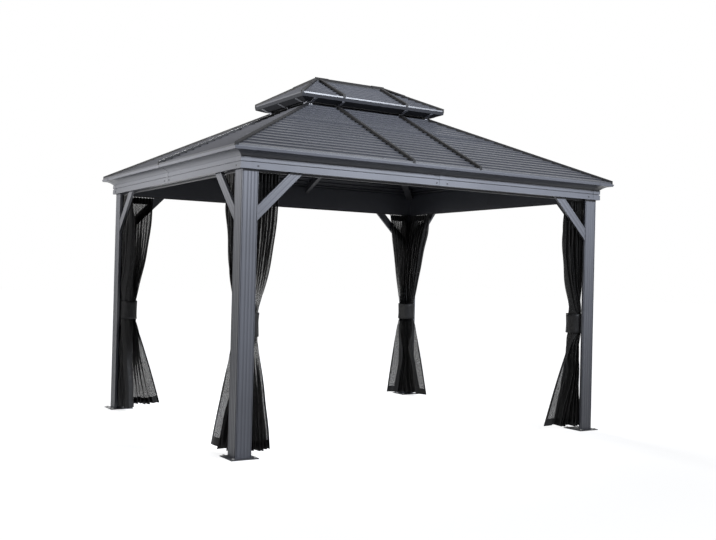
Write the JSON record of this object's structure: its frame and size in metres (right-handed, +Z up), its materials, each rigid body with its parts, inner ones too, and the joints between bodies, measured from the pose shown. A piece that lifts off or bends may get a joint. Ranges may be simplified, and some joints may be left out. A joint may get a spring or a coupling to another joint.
{
  "type": "hardtop garden gazebo",
  "caption": "Open garden gazebo with fluted corner posts, crown moulded beams, a stepped metal hip roof, a small vented upper roof and tied netting curtains.",
  "frame": {"origin": "on the ground at the middle of the four posts", "axes": "+Z up, X along the long side, the front looks along -Y"},
  "size_m": [3.68, 3.114, 3.1191],
  "materials": {
    "frame": "dark grey powder-coated aluminium",
    "roof": "dark grey stepped steel sheet",
    "trim": "dark painted steel caps and battens",
    "netting": "fine black insect netting"
  },
  "bodies": {
    "root": {"beam_back": "frame", "beam_front": "frame", "beam_joint_covers": "frame", "beam_left": "frame", "beam_right": "frame", "brace_back_left": "frame", "brace_back_right": "frame", "brace_front_left": "frame", "brace_front_right": "frame", "brace_left_left": "frame", "brace_left_right": "frame", "brace_right_left": "frame", "brace_right_right": "frame", "corner_cap_back_left": "frame", "corner_cap_back_right": "frame", "corner_cap_front_left": "frame", "corner_cap_front_right": "frame", "curtain_back_left": "netting", "curtain_back_right": "netting", "curtain_front_left": "netting", "curtain_front_right": "netting", "curtain_rails": "frame", "curtain_ties": "netting", "foot_back_left": "frame", "foot_back_right": "frame", "foot_front_left": "frame", "foot_front_right": "frame", "hip_caps": "trim", "post_back_left": "frame", "post_back_right": "frame", "post_front_left": "frame", "post_front_right": "frame", "ridge_cap": "trim", "roof_back": "roof", "roof_battens": "trim", "roof_front": "roof", "roof_left": "roof", "roof_rafters": "frame", "roof_right": "roof", "upper_battens": "trim", "upper_eave": "frame", "upper_roof_back": "roof", "upper_roof_front": "roof", "upper_roof_left": "roof", "upper_roof_right": "roof", "vent_brackets": "frame", "vent_curb": "frame"}
  },
  "joints": []
}
